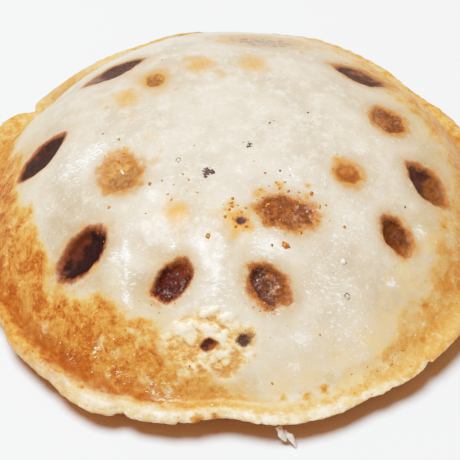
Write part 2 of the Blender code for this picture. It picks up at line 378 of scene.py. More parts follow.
# a buttery bloom on the dough beside the browned skin: bearing, distance, reach, strength
blooms = (
    (304, 38.4, 3.2, 0.95), (297, 40.3, 2.6, 0.95), (311, 37.2, 3.6, 0.8), (322, 35.8, 3.4, 0.7),
    (288, 39.6, 3, 0.75), (281, 40, 2.8, 0.7), (336, 34.6, 2.8, 0.5), (270, 40.4, 2.4, 0.6),
    (295, 37.4, 2.6, 0.45), (345, 35.5, 2.6, 0.4), (250, 20.5, 4.6, 0.38), (266, 20.8, 3.4, 0.38),
    (246, 25.5, 3, 0.3), (277, 20.4, 2.4, 0.35),
)

# dents in the pale dough, with painted shade in them
paleHollows = ((307, 28.9, 0.5), (315.5, 35.7, 0.5))  # bearing, distance, depth

# the browned skin
browned = {
    "start": (  # bearing, distance from the middle
        (0, 35), (12, 33), (34, 30.8), (46, 31.2), (60, 32.4), (80, 36), (100, 38), (140, 38.5),
        (160, 37.5), (176, 34.6), (198, 33.3), (207, 33.8), (222, 35.3), (238, 33), (250, 34.5),
        (262, 36.5), (270, 39), (283, 41.4), (294, 40.8), (306, 38.8), (321, 37.2), (337, 35.8),
        (348, 34.8), (360, 35),
    ),
    "strength": (  # bearing, how brown
        (0, 0.56), (25, 0.62), (60, 0.52), (100, 0.46), (130, 0.34), (146, 0.42), (154, 0.68),
        (176, 0.84), (205, 0.86), (225, 0.88), (250, 0.84), (264, 0.68), (274, 0.5), (290, 0.46),
        (305, 0.52), (322, 0.6), (340, 0.64), (360, 0.56),
    ),
    "ease": (  # bearing, width of the change
        (0, 5), (60, 4), (140, 3), (190, 3.6), (205, 3.2), (245, 3.2), (262, 3.6), (285, 3.5),
        (306, 6.5), (322, 8), (337, 8), (360, 5),
    ),
    "wander": ((4.0, 1.3), (1.6, 0.8), (0.7, 0.5)),  # ripples in its edge: size, amount
    "wilder": (312, 25, 0.8),  # bearing, half width, how much further it wanders there
    "haze": 0.2,  # a faint tan up the slope
    "hazeReach": 9,
    "hazeGaps": ((295, 25, 0.7), (205, 18, 0.8)),
    "streaks": (272, 24, 0.16),
    "paleLip": (207, 18, 0.14),
    "smoothSides": ((282, 30), (322, 35, 0.7)),
}

# the cream edge of the brim: a wide band at the front left, a thin lip elsewhere
creamEdge = {
    "wide": (243, 22),
    "starts": (1.34, 1.85),  # how far along the section, in the wide stretch and elsewhere
    "nearer": (287, 26, 0.42),
    "softness": (0.09, 0.13),
    "none": (172, 28, 1),
    "less": (227, 14, 0.45),
}

# golden stains: bearing, distance, reach, strength
stains = (
    (105.5, 18.1, 2.8, 0.52), (77.5, 17.7, 3, 0.46), (95, 13.4, 0.8, 0.35), (150.5, 19.8, 3, 0.52),
    (132, 18.8, 3.6, 0.42), (244.7, 19.1, 2.4, 0.8), (244, 19.6, 0.75, 0.6), (246.6, 18.6, 0.5, 0.62),
    (159, 21.4, 0.45, 0.6), (130.4, 13.6, 0.5, 0.5), (286, 41.3, 0.9, 0.72), (290.4, 40.7, 0.85, 0.9),
    (281.5, 40.7, 0.7, 0.62), (316, 41.3, 0.9, 0.9), (308, 43.3, 1.6, 0.68), (299, 43, 0.7, 0.6),
    (294, 42.2, 0.6, 0.55), (239, 44.3, 0.55, 0.8), (220, 43.8, 0.7, 0.6), (264.2, 44.2, 1.1, 0.92),
    (267.3, 43.4, 0.6, 0.85), (62.5, 26.3, 0.7, 0.6), (342, 18, 0.8, 0.78), (192, 17.1, 0.8, 0.66),
    (192, 19.4, 0.7, 0.66), (203, 12, 0.6, 0.42), (209, 13.7, 0.9, 0.36), (342.5, 35.4, 1.1, 0.72),
    (311, 18.2, 0.6, 0.7), (307, 22.3, 0.7, 0.8), (287, 14.5, 0.8, 0.78), (303, 14.2, 0.7, 0.78),
    (316.5, 16.8, 0.6, 0.78), (271, 15.5, 0.8, 0.76), (291, 14.2, 0.55, 0.8), (268, 17, 0.7, 0.78),
    (274.5, 19, 2.4, 0.85), (270.6, 17.7, 0.7, 0.8), (279, 20.3, 0.6, 0.8), (272.5, 20.8, 0.6, 0.75),
    (247, 31, 0.6, 0.72), (295, 37.8, 0.5, 0.3), (330, 38.5, 2.6, 0.74), (322, 38.6, 1.6, 0.72),
    (167, 16.4, 1.3, 0.22), (186, 12.7, 1.4, 0.2), (265.4, 17.4, 1, 0.3),
)

# soft ridges with painted highlights, and a seam with painted shade: each point is (bearing, distance)
lines = (
    dict(points=((231.5, 26), (236.5, 29), (239.7, 32), (243, 33)), reach=0.5, lift=0.132, white=1, crackShade=0),
    dict(points=((266, 22), (266.6, 26.5), (267, 31)), reach=1.6, lift=0.18, white=0.35, crackShade=0),
    dict(points=((185, 20.5), (189, 24), (192, 27.5)), reach=1.4, lift=0.12, white=0.6, crackShade=0),
    dict(points=((149, 39.6), (150, 36), (149, 33.5), (143, 32.7)),
         reach=0.35, lift=-0.132, white=0, crackShade=0.8),
)

# the flaky patch of skin, cream on its folds and golden between them
flaky = {
    "at": (265.2, 35.3),
    "halfWidth": 8.4,
    "halfHeight": 6.0,
    "fold": 0.24,
    "foldSize": 1.9,
    # middle, half length and half width, height
    "lobes": (
        ((258.5, 33.8), (2.3, 1.1), 0.28), ((264, 31.8), (2, 0.8), 0.21), ((269.5, 32.2), (1.8, 0.9), 0.175),
    ),
    "ridges": (  # points, reach, how far up (cream) or down (golden)
        (((265.5, 37), (269, 36.2), (272, 35.5)), 0.2, 0.6),
        (((271.3, 35.8), (271, 37), (271.2, 38.4)), 0.55, -0.8),
        (((257, 36), (259.5, 35.6), (262, 35.7)), 0.8, -0.9),
        (((259, 32.6), (261.5, 31.7), (263, 31)), 0.5, -0.6),
        (((266, 32.6), (268.5, 33.3)), 0.6, -0.6),
        (((277.3, 36.9), (275.8, 38.3), (274, 38.6)), 0.7, -0.8),
        (((259, 38.4), (264, 39), (268, 38.6)), 1, -0.5),
        (((255.5, 36), (256.5, 38)), 0.7, -0.7),
        (((264, 33.6), (268, 34)), 0.9, 0.5),
        (((267.5, 35.3), (270, 35), (271.5, 34)), 0.7, -0.55),
    ),
}

# painted highlights on wet white places: bearing, distance, reach, strength
sheens = (
    (266, 27.4, 0.9, 1), (265, 29.4, 1.5, 0.6), (234, 27.7, 0.9, 0.8), (285, 23.2, 2.2, 1),
    (335, 33, 1, 0.9), (354, 21, 0.9, 0.7), (317, 34.5, 0.9, 0.8), (288, 35.5, 1.3, 0.75),
    (294, 33, 0.8, 0.6), (301, 33.5, 0.8, 0.7), (302, 38, 0.8, 0.5), (285, 38, 1.1, 0.6),
    (187, 22, 1.6, 0.8), (190, 23.5, 1.6, 0.7), (228, 18, 0.9, 0.9), (232, 28.5, 1.3, 0.8),
    (260, 23.5, 1.2, 0.5), (248, 24, 1, 0.5), (261, 25.5, 1.1, 0.5), (276, 29.2, 1, 0.5),
    (256, 40.6, 2, 0.5), (244, 40, 1.4, 0.45), (233, 40.3, 1.2, 0.45), (238, 38.6, 1.4, 0.35),
    (300, 31, 5, 0.3), (300, 36.5, 4.5, 0.3), (267, 28.5, 3.5, 0.3), (238, 30, 2.4, 0.3),
    (190, 25, 4, 0.3), (232, 22, 3, 0.12), (282, 31.5, 2.2, 0.35), (320, 26, 4, 0.25),
    (256, 22, 3, 0.08), (315, 13.5, 1.8, 0.45), (319, 24.5, 1.2, 0.4), (279, 9.5, 0.7, 0.5),
    (253, 40.2, 1.2, 0.8), (247, 40, 0.9, 0.6), (310, 26, 1.5, 0.4),
)

# little blisters in the browned skin: bearing, distance, radius
blisters = (
    (245.3, 35.5, 0.6), (247.3, 35.6, 0.5), (251.2, 39.5, 0.9), (259.4, 38.3, 1), (243.8, 38, 0.8),
    (239, 37.8, 0.7), (223.4, 39.4, 0.9), (262, 37.2, 0.7), (254, 36.6, 0.7), (256.5, 40, 0.8),
)

masks = (
    "toast", "groove", "cream", "pit", "halo", "hollow", "grit", "white", "pale", "stain", "bloom", "shade",
    "crackShade", "flaky", "crust", "smooth", "front", "under",
)


def linear(colour):
    # from a 0 to 255 display colour to the shader's own scale
    return tuple(((c / 255 + 0.055) / 1.055) ** 2.4 if c > 10 else c / 255 / 12.92 for c in colour)


def bentPlace(place, amount, size, apart):
    # the place moved sideways by smooth noise
    across = noise.noise(place / size), noise.noise(place / size + Vector((apart, 0, 0)))
    return place + amount * Vector((*across, 0))


def segmentDistance(point, start, end):
    near, share = geometry.intersect_point_line(point, start, end)
    return (point - start.lerp(end, min(max(share, 0), 1))).length


def pitPlace(point, pit):
    # the pit's oval (1 at its edge), how far away the point is, and how far to the pit's lit side
    spot, uphill, around = pit["frame"]
    away = point - spot
    turn = radians(pit["turn"])
    along = away.dot(uphill) * cos(turn) + away.dot(around) * sin(turn)
    across = away.dot(around) * cos(turn) - away.dot(uphill) * sin(turn)
    length, width = pit["size"]
    power = pit["point"]
    oval = (abs(2 * along / length) ** power + abs(2 * across / width) ** power) ** (1 / power)
    lit = radians(pit["lit"])
    side = (away.x * cos(lit) + away.y * sin(lit)) * 2 / (length + width) * 2
    return oval, away.length, side


def flakyShare(point):
    spot, uphill, around = flaky["frame"]
    away = point - spot
    across = away.dot(around) / flaky["halfWidth"]
    along = away.dot(uphill) / flaky["halfHeight"]
    oval = sqrt(across * across + along * along) + ripples(point, (2.4, 0.22))
    return 1 - blend(0.72, 1.0, oval)


def wantsDetail(point, path):
    # on the brim, in and round the pits, and in the flaky patch
    if path > 1.05:
        return path < 2.1
    if any((point - pit["frame"][0]).length < 0.62 * max(pit["size"]) + 0.5 for pit in pits):
        return True
    return flakyShare(point) > 0.05


def refine(bm):
    # a finer mesh where the detail is
    path = bm.verts.layers.float["path"]
    fine = {vert for vert in bm.verts if wantsDetail(vert.co, vert[path])}
    edges = [edge for edge in bm.edges if edge.verts[0] in fine and edge.verts[1] in fine]
    bmesh.ops.subdivide_edges(bm, edges=edges, cuts=1, use_grid_fill=True)


class Skin:
    # the round's vertices with their masks, found by place, and how far each will move along its normal

    def __init__(self, bm):
        bm.normal_update()
        layers = bm.verts.layers
        self.layer = {name: layers.float.new(name) for name in masks}
        self.tone = layers.float_color.new("tone")
        self.rimTone = layers.float_color.new("rimTone")
        self.plain = layers.float["plainRadius"]
        self.path = layers.float["path"]
        self.verts = list(bm.verts)
        self.ways = [vert.normal.copy() for vert in self.verts]
        self.places = [vert.co.copy() for vert in self.verts]
        self.moves = [0.0] * len(self.verts)
        self.tree = KDTree(len(self.verts))
        for index, place in enumerate(self.places):
            self.tree.insert(place, index)
        self.tree.balance()

    def raiseMask(self, index, name, value):
        vert, layer = self.verts[index], self.layer[name]
        vert[layer] = max(vert[layer], value)

    def near(self, bearing, distance, reach):
        # the vertices round the surface's own point there, each as (place, index, how far)
        return self.tree.find_range(self.tree.find(spotOnTop(bearing, distance))[0], reach)

    def alongLine(self, points, reach, rippleSize, margin):
        # the vertices beside a line of points, each as (place, index, share), 1 on the line
        spots = [spotOnDome(*at)[0] for at in points]
        for start, end in zip(spots, spots[1:]):
            span = (end - start).length / 2 + reach * margin
            for place, index, _ in self.tree.find_range((start + end) / 2, span):
                bent = bentPlace(place, 0.5, rippleSize, 5)
                yield place, index, hump(segmentDistance(bent, start, end), reach)

    def settle(self):
        for vert, place, way, move in zip(self.verts, self.places, self.ways, self.moves):
            vert.co = place + way * move


def pressPits(skin):
    pitMask = skin.layer["pit"]
    for vert in skin.verts:
        vert[pitMask] = 3
    for pit in pits:
        floor, second, rimColour = (Vector(linear(pit[name])) for name in ("floor", "second", "rim"))
        hasDent = max(pit["size"]) >= pitWalls["smallest"]
        reach = max(pit["size"]) * 1.2 + (8 if pit["depth"] > 0.55 else 2)
        for place, index, _ in skin.tree.find_range(pit["frame"][0], reach):
            vert = skin.verts[index]
            if vert[skin.path] > 1.3:
                continue
            oval, far, side = pitPlace(place, pit)
            rough = oval + pit["edge"] * ripples(place, *pitWalls["ragged"])
            shallow = pitWalls["hollowShare"] * hump(far, pitWalls["hollowReach"]) if hasDent else 0
            wall = blend(pitWalls["floor"], pitWalls["lip"], rough)
            skin.moves[index] -= pit["depth"] * (1 - wall + shallow)
            smooth, gritty = pitWalls["grainHeight"]
            grain = ripples(place, *pitWalls["grain"]) * (smooth + gritty * pit["grit"])
            skin.moves[index] += (1 - blend(0.75, 1.0, rough)) * grain
            skin.raiseMask(index, "halo", pit["halo"] * (1 - blend(*pitWalls["haloReach"], oval)))
            # painted shade in the soft dent round the pit
            skin.raiseMask(index, "hollow", shallow)
            rough = 1 + (rough - 1) * pit["crisp"]
            if rough < vert[pitMask]:
                vert[pitMask] = rough
                vert[skin.layer["grit"]] = pit["grit"]
                share = blend(-0.25, 0.25, side - pit["bias"] + ripples(place, (1.3, 0.5)))
                vert[skin.tone] = (*floor.lerp(second, share), 1)
                vert[skin.rimTone] = (*rimColour, 1)


def pressLines(skin):
    for line in lines:
        # painted highlights on the ridges, painted shade in the seam
        for place, index, share in skin.alongLine(line["points"], line["reach"], 1.7, 3):
            share *= 0.7 + ripples(place, (0.9, 0.6))
            skin.raiseMask(index, "white", share * line["white"])
            skin.raiseMask(index, "crackShade", share * line["crackShade"])
            skin.moves[index] += share * line["lift"]


def paintPatches(skin):
    for bearing, distance, reach, strength in stains:
        name = "stain" if distance < 36 else "toast"
        for place, index, far in skin.near(bearing, distance, reach * 2.6):
            wobble = 1 + ripples(place, (0.3 + 0.5 * reach, 0.6), (0.4, 0.25))
            skin.raiseMask(index, name, strength * (1 - blend(0.1, 1.5, far * wobble / reach)))
    # painted shade patches, then the buttery blooms
    for name, patches, wobble in (("shade", shades, 0.5), ("bloom", blooms, 0.9)):
        for bearing, distance, reach, strength in patches:
            for place, index, far in skin.near(bearing, distance, reach * 2.2):
                uneven = 1 + wobble * ripples(place, (2.5, 1), (0.9, 0.5))
                skin.raiseMask(index, name, strength * hump(far * uneven, reach))


def pressHollows(skin):
    # presses each dent and paints shade in it
    for bearing, distance, depth in paleHollows:
        for _, index, far in skin.tree.find_range(spotOnDome(bearing, distance)[0], 14):
            share = hump(far, pitWalls["hollowReach"])
            skin.moves[index] -= depth * share
            skin.raiseMask(index, "hollow", share * 0.8)


def raiseBlisters(skin):
    # each is a low ring round a dent, paler where its skin tore
    for bearing, distance, radius in blisters:
        for place, index, far in skin.near(bearing, distance, radius * 2):
            skin.moves[index] += 0.1 * hump(far - radius, 0.35 * radius) - 0.12 * hump(far, 0.7 * radius)
            torn = far / radius + ripples(place, (0.8, 0.7))
            skin.raiseMask(index, "pale", 0.85 * (1 - blend(0.5, 1.2, torn)))


def raiseLobes(skin):
    for at, (halfLength, halfWidth), height in flaky["lobes"]:
        spot, uphill, around, _ = spotOnDome(*at)
        for place, index, _ in skin.tree.find_range(spot, halfLength * 1.6):
            away = place - spot
            across = away.dot(around)
            oval = hypot(across / halfLength, (away.dot(uphill) - 0.25 * across) / halfWidth)
            share = 1 - blend(0.4, 1.1, oval + ripples(place, (1.1, 0.35)))
            skin.moves[index] += share * height
            skin.raiseMask(index, "crust", share)


# painted highlights: raises the white mask, and the surface a little
def raiseSheens(skin):
    for bearing, distance, reach, strength in sheens:
        for _, index, far in skin.tree.find_range(spotOnDome(bearing, distance)[0], reach * 2):
            share = strength * hump(far, reach)
            skin.raiseMask(index, "white", share)
            skin.moves[index] += 0.08 * share


def flakyRidges(skin):
    # the strongest ridge or dip of the flaky patch at each vertex
    strongest = [0.0] * len(skin.verts)
    for points, reach, amount in flaky["ridges"]:
        for _, index, share in skin.alongLine(points, reach, 1.5, 2.5):
            if abs(amount * share) > abs(strongest[index]):
                strongest[index] = amount * share
    return strongest


def ridged(point, size):
    return 1 - abs(noise.noise(point / size)) * 2


def foldHeight(place, bearing, radius, lobe, ridge):
    # folds of the flaky patch, lower and more golden at its outer and left sides
    bend = bentPlace(place, 0.9, 3, 7)
    fold = ridged(Vector((bend.x, bend.y * 1.5, bend.z)), flaky["foldSize"]) * 0.7
    fold += ridged(place + Vector((3, 3, 3)), 0.9) * 0.3
    golden = 0.3 * blend(35.5, 38.0, radius) + 0.3 * blend(262, 256, bearing) * blend(34.5, 36, radius)
    streaky = Vector(((place.x + place.y) / 0.45, (place.x - place.y) / 2.2, 0))
    rough = ripples(place, (0.7, 0.25)) + 0.5 * noise.noise(place / 1.8 + Vector((0, 9, 0)))
    return max(fold, lobe) + ridge + rough - golden + ripples(streaky, (1, 0.3)) + 0.1


def browning(place, bearing, radius, along):
    start, strength, ease = (readTable(browned[name], bearing) for name in ("start", "strength", "ease"))
    middle, halfWidth, more = browned["wilder"]
    wander = ripples(place, *browned["wander"]) * (1 + more * swell(bearing, middle, halfWidth))
    toast = strength * blend(start - ease / 2, start + ease / 2 + 0.4, radius + wander)
    gaps = sum(part * swell(bearing, mid, half) for mid, half, part in browned["hazeGaps"])
    haze = blend(start - browned["hazeReach"], start, radius + wander)
    toast = max(toast, browned["haze"] * (1 - gaps) * haze)
    if along > 1:
        middle, halfWidth, streaks = browned["streaks"]
        streaky = noise.noise(Vector((bearing / 14, along * 8, 0)))
        toast += streaks * swell(bearing, middle, halfWidth) * streaky
        middle, halfWidth, pale = browned["paleLip"]
        toast -= pale * swell(bearing, middle, halfWidth) * blend(1.3, 1.5, along)
    return toast


def creamShare(place, bearing, along):
    wide = swell(bearing, *creamEdge["wide"])
    middle, halfWidth, nearer = creamEdge["nearer"]
    band = creamEdge["starts"][0] * wide + creamEdge["starts"][1] * (1 - wide)
    band += ripples(place, (1.8, 0.14), (0.6, 0.1)) - nearer * swell(bearing, middle, halfWidth)
    soft = creamEdge["softness"][0] + creamEdge["softness"][1] * wide
    share = blend(band - soft, band + soft, along)
    for middle, halfWidth, part in (creamEdge["none"], creamEdge["less"]):
        share *= 1 - part * swell(bearing, middle, halfWidth)
    return share


def grooveStain(place, bearing, radius):
    share = grooveShare(bearing) * blend(175, 200, bearing) * (1 - blend(252, 266, bearing))
    off = radius - groove["place"] - ripples(place, (5, 0.35))
    return share * hump(off, 0.8 if off > 0 else 1.3) * (0.85 + ripples(place, (1.3, 0.6)))


def lumpiness(place, radius, along):
    lumps = ripples(place, (roundShape["lumpSize"], roundShape["lump"]))
    lumps *= blend(roundShape["lumpsFrom"], roundShape["footRadius"], radius)
    slope = blend(10, 30, radius)
    lumps += ripples(place, (2.3, 0.02 + 0.05 * slope), (0.9, 0.03 * slope))
    return lumps * (1 - blend(1.0, 1.4, along))


def paintSkin(skin, ridges):
    layer = skin.layer
    for index, (vert, place) in enumerate(zip(skin.verts, skin.places)):
        radius, along, bearing = vert[skin.plain], vert[skin.path], bearingOf(place)
        if along > 2:
            vert[layer["under"]] = 1
            vert[layer["toast"]] = 0.6
            skin.moves[index] += ripples(place, (1.5, 0.05)) * blend(19, 24, radius)
            continue
        stained = vert[layer["toast"]]
        uneven = noise.noise(place / 5)
        skin.raiseMask(index, "toast", browning(place, bearing, radius, along))
        # painted shade: the left side darker and greyer
        leftward = blend(-8, -31, place.x)  # the left is greyer
        skin.raiseMask(index, "hollow", 0.85 * leftward * (0.65 + 0.5 * uneven))
        # painted light: the front slope and the front right drawn lighter
        front = blend(-4, -28, place.y) * blend(-30, 5, place.x)
        front = max(front, 0.8 * blend(12, 28, place.x) * blend(16, 2, place.y))
        vert[layer["front"]] = front * (1 + 0.6 * uneven)
        vert[layer["groove"]] = grooveStain(place, bearing, radius)
        vert[layer["under"]] = blend(1.86, 2.0, along)
        outer, (middle, halfWidth, part) = browned["smoothSides"]
        smooth = blend(39, 41, radius) * swell(bearing, *outer)
        vert[layer["smooth"]] = max(smooth, part * swell(bearing, middle, halfWidth))
        if along > 1:
            vert[layer["cream"]] = creamShare(place, bearing, along) * (1 - blend(0.15, 0.5, stained))
        skin.moves[index] += lumpiness(place, radius, along)
        folds = flakyShare(place) if 28 < radius < 42 and 240 < bearing < 295 else 0
        crust = 0.5 + ripples(place, (1.4, 0.5))
        if folds > 0:
            fold = foldHeight(place, bearing, radius, vert[layer["crust"]], ridges[index])
            skin.moves[index] += folds * flaky["fold"] * (fold - 0.6)
            vert[layer["crust"]] = crust + (max(fold, 0) - crust) * folds
        else:
            skin.raiseMask(index, "crust", crust)
            wrinkles = ripples(place, (1.2, 0.07), (0.5, 0.042))
            skin.moves[index] += blend(0.15, 0.6, vert[layer["toast"]]) * wrinkles
        vert[layer["flaky"]] = folds


def paintAndPress(bm):
    # works out each vertex's masks, and moves it along its normal for the pits, folds and grain
    skin = Skin(bm)
    for step in (pressPits, pressLines, paintPatches, pressHollows, raiseBlisters, raiseLobes, raiseSheens):
        step(skin)
    paintSkin(skin, flakyRidges(skin))
    skin.settle()


def addObject(name, data):
    made = bpy.data.objects.new(name, data)
    bpy.context.collection.objects.link(made)
    return made


def meshFrom(bm, name, material):
    data = bpy.data.meshes.new(name)
    bm.to_mesh(data)
    bm.free()
    data.materials.append(material)
    return data


def finishPiece(bm, name, material):
    # moves the piece to the frame's own middle, in metres, and makes its object
    bmesh.ops.translate(bm, verts=bm.verts, vec=roundShape["toMiddle"])
    bmesh.ops.scale(bm, verts=bm.verts, vec=(toMetres,) * 3)
    piece = addObject(name, meshFrom(bm, name, material))
    piece.data.shade_smooth()
    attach(piece, "root")
    print("made", name, "with", len(piece.data.polygons), "faces")
    return piece


drawing = {}  # the shader tree that nodes are being added to


def feed(socket, value):
    if isinstance(value, bpy.types.NodeSocket):
        drawing["tree"].links.new(value, socket)
    else:
        socket.default_value = value


def addNode(kind, inputs=None, **settings):
    nodes = drawing["tree"].nodes
    made = nodes.new("ShaderNode" + kind)
    count = len(nodes)
    made.location = (count % 14 * 190, -(count // 14) * 280)
    for name, value in settings.items():
        setattr(made, name, value)
    for socket, value in (inputs or {}).items():
        feed(made.inputs[socket], value)
    return made


def mathOf(operation, first, second, clamp=False):
    return addNode("Math", {0: first, 1: second}, operation=operation, use_clamp=clamp).outputs[0]


def times(first, second, clamp=False):
    return mathOf("MULTIPLY", first, second, clamp)


def plus(first, second, clamp=False):
    return mathOf("ADD", first, second, clamp)


def mixOf(amount, low, high, mode="MIX"):
    low, high = ((*linear(given), 1) if isinstance(given, tuple) else given for given in (low, high))
    return addNode("Mix", {0: amount, 6: low, 7: high}, data_type="RGBA", blend_type=mode).outputs[2]


def spread(value, low, high, toLow=0.0, toHigh=1.0):
    inputs = dict(enumerate((value, low, high, toLow, toHigh)))
    return addNode("MapRange", inputs, interpolation_type="SMOOTHSTEP").outputs[0]


def either(value, amount):
    # a noise as a change of up to the amount either way
    return spread(value, 0.3, 0.7, -amount, amount)


def noiseOf(place, size, detail=2.0, roughness=0.5, distortion=0.0):
    # size is in millimetres
    inputs = {"Vector": place, "Scale": 1 / (size * toMetres), "Detail": detail}
    return addNode("TexNoise", {**inputs, "Roughness": roughness, "Distortion": distortion}).outputs[0]


def cellsOf(place, size):
    # the distance from each cell's middle, and a colour for each cell
    made = addNode("TexVoronoi", {"Vector": place, "Scale": 1 / (size * toMetres), "Randomness": 1.0})
    return made.outputs["Distance"], made.outputs["Color"]


def maskOf(name, output="Fac"):
    return addNode("Attribute", attribute_name=name).outputs[output]


def objectPlace():
    return addNode("TexCoord").outputs["Object"]


def addBump(shader, height, distance, strength):
    inputs = {"Height": height, "Distance": distance * toMetres, "Strength": strength}
    feed(shader.inputs["Normal"], addNode("Bump", inputs).outputs[0])


def soften(shader, weight, radius):
    # light enters and comes out again within the radius, in metres
    shader.inputs["Subsurface Weight"].default_value = weight
    shader.inputs["Subsurface Radius"].default_value = radius
    shader.inputs["Subsurface Scale"].default_value = 1.0


def newMaterial(name):
    material = bpy.data.materials.new(name)
    material.use_nodes = True
    drawing["tree"] = material.node_tree
    return material, material.node_tree.nodes["Principled BSDF"]


doughLook = {
    "grey": (206, 189, 168),
    "plain": (222, 206, 186),
    "milky": (235, 223, 206),
    # painted light on the front slope
    "front": (244, 228, 202),
    "frontShare": 0.42,
    # painted shade in hollows
    "hollow": (192, 170, 142),
    "wisp": (252, 247, 238),
    "bloom": (241, 207, 154),
    # painted shade, multiplied in
    "shade": (216, 199, 178),
    "stain": (220, 154, 62),
    "blister": (243, 216, 170),
    # painted highlight glints
    "glintWhite": (255, 251, 242),
    "toast": (  # how brown, colour
        (0.12, (218, 198, 168)),
        (0.3, (224, 188, 138)),
        (0.45, (223, 172, 106)),
        (0.6, (217, 156, 80)),
        (0.8, (205, 133, 50)),
        (1.0, (174, 90, 20)),
    ),
    "crease": (162, 82, 12),
    "cream": (228, 195, 144),
    "creamLight": (249, 231, 205),
    "fold": (255, 238, 212),
    "flake": (245, 208, 152),
    "valley": (226, 163, 90),
    "gap": (205, 133, 50),
    # painted shade in the seam
    "crackShadeTone": (150, 126, 104),
    # small round specks: colour, how far apart, how wide next to that, how many places have one, strength
    "pores": ((196, 168, 134), 0.8, 0.16, 0.3, 0.3),
    "specks": ((176, 146, 112), 1.9, 0.09, 0.3, 0.7),
    "slivers": ((252, 250, 244), 1.3, 0.12, 0.35, 0.75),
    "halo": (190, 146, 92),
    "ember": (208, 138, 62),
    "char": (176, 140, 106),
    "crumbs": (108, 58, 34),
    "glint": (170, 150, 142),
    "under": ((222, 132, 40), (196, 98, 20)),
    "subsurface": 0.15,
    "radius": (0.0016, 0.0011, 0.0007),
    "bump": (0.3, 0.7),  # height in millimetres, strength
}


def toastColour(value):
    made = addNode("ValToRGB", {0: value})
    ramp = made.color_ramp
    for spot, (at, colour) in enumerate(doughLook["toast"]):
        stop = ramp.elements[spot] if spot < 2 else ramp.elements.new(at)
        stop.position = at
        stop.color = (*linear(colour), 1)
    return made.outputs[0]


def addSpecks(part, colour, name, fade=None):
    shown, size, reach, share, strength = doughLook[name]
    distance, cellColour = cellsOf(part["place"], size)
    chosen = spread(cellColour, 1 - share, 1 - share + 0.05)
    spots = times(spread(distance, reach, reach * 0.5), chosen)
    amount = strength if fade is None else times(fade, strength)
    return mixOf(times(spots, amount), colour, shown)


def sharedParts():
    # the noises and masks that the dough's parts have in common
    place = objectPlace()
    part = {"place": place, "toast": maskOf("toast"), "white": maskOf("white")}
    part["big"] = noiseOf(place, 7, 2)
    part["middle"] = noiseOf(place, 2.2, 3, 0.6)
    part["small"] = noiseOf(place, 0.7, 3, 0.6)
    part["fine"] = noiseOf(place, 0.25, 2, 0.6)
    part["wisps"] = noiseOf(place, 0.9, 3, 0.6, 1.6)
    part["milky"] = plus(times(part["middle"], 0.5), times(part["small"], 0.3))
    part["milky"] = plus(part["milky"], times(part["fine"], 0.2))
    apart = addNode("SeparateXYZ", {0: place})
    part["near"] = spread(apart.outputs[1], -0.004, 0.014, 1, 0.25)  # the back is plainer
    mottle = plus(noiseOf(place, 4.2, 4, 0.65, 0.8), times(noiseOf(place, 1.3, 3, 0.6), 0.4))
    part["mottle"] = spread(mottle, 0.48, 0.92, -0.24, 0.18)
    aslant = {"Vector": place, "Scale": (1, 2.6, 1), "Rotation": (0, 0, radians(35))}
    part["scratch"] = noiseOf(addNode("Mapping", aslant).outputs[0], 0.8, 3, 0.6, 0.8)
    crumbly = times(either(part["fine"], 0.07), maskOf("grit"))
    rough = plus(maskOf("pit"), either(part["small"], 0.035))
    part["rough"] = plus(rough, crumbly)
    part["inside"] = spread(part["rough"], 1.02, 0.88)
    glitter = times(spread(cellsOf(place, 0.3)[1], 0.5, 0.7), spread(part["middle"], 0.47, 0.57))
    part["glitter"] = times(glitter, maskOf("grit"))
    return part


def plainDough(part, look):
    # translucent grey with milky patches, painted light on the front slope, painted shade in hollows and on
    # the left, and fine white wisps
    colour = mixOf(spread(part["big"], 0.35, 0.65), look["grey"], look["plain"])
    colour = mixOf(spread(part["milky"], 0.46, 0.62, 0, 0.8), colour, look["milky"])
    front = times(maskOf("front"), look["frontShare"], True)
    colour = mixOf(front, colour, look["front"])
    hollow = times(maskOf("hollow"), spread(part["middle"], 0.3, 0.6, 0.9, 0.6))
    colour = mixOf(hollow, colour, look["hollow"])
    wisp = times(spread(part["wisps"], 0.58, 0.68, 0, 0.5), part["near"])
    return mixOf(wisp, colour, look["wisp"])


def brownedSkin(part, look, colour):
    # mottled at three sizes, with paler veins, then the bloom, painted shades, stains and torn blisters
    toast, small = part["toast"], part["small"]
    grain = plus(either(part["fine"], 0.06), either(small, 0.1))
    uneven = times(plus(part["mottle"], grain), spread(toast, 0.05, 0.6))
    uneven = times(uneven, spread(maskOf("smooth"), 0, 1, 1, 0.5))
    veins = spread(noiseOf(part["place"], 2.4, 3, 0.65, 1.2), 0.54, 0.68, 0, 0.32)
    veins = plus(spread(part["wisps"], 0.5, 0.72, 0, 0.2), veins)
    brown = plus(toast, mathOf("SUBTRACT", uneven, times(veins, toast)))
    colour = mixOf(spread(brown, 0.04, 0.22), colour, toastColour(brown))
    bloom = times(maskOf("bloom"), spread(part["middle"], 0.34, 0.58, 0.45, 1))
    bloom = times(bloom, spread(brown, 0.25, 0.5, 1, 0))
    colour = mixOf(bloom, colour, look["bloom"])
    colour = mixOf(maskOf("shade"), colour, look["shade"], "MULTIPLY")
    stain = times(maskOf("stain"), spread(small, 0.3, 0.6, 1.0, 1.6), True)
    colour = mixOf(stain, colour, look["stain"])
    pale = times(maskOf("pale"), spread(small, 0.38, 0.56, 0.3, 1))
    return mixOf(pale, colour, look["blister"])


# painted highlights: crisp white glints where the white mask is
def wetGlints(part, look, colour):
    crisp = plus(part["white"], spread(part["scratch"], 0.34, 0.66, -0.55, 0.55))
    soft = times(part["white"], spread(part["toast"], 0.2, 0.5, 0.45, 0))
    crisp = mathOf("MAXIMUM", soft, spread(crisp, 0.62, 0.72))
    return mixOf(times(crisp, spread(part["toast"], 0.2, 0.5, 0.9, 0.7)), colour, look["glintWhite"])


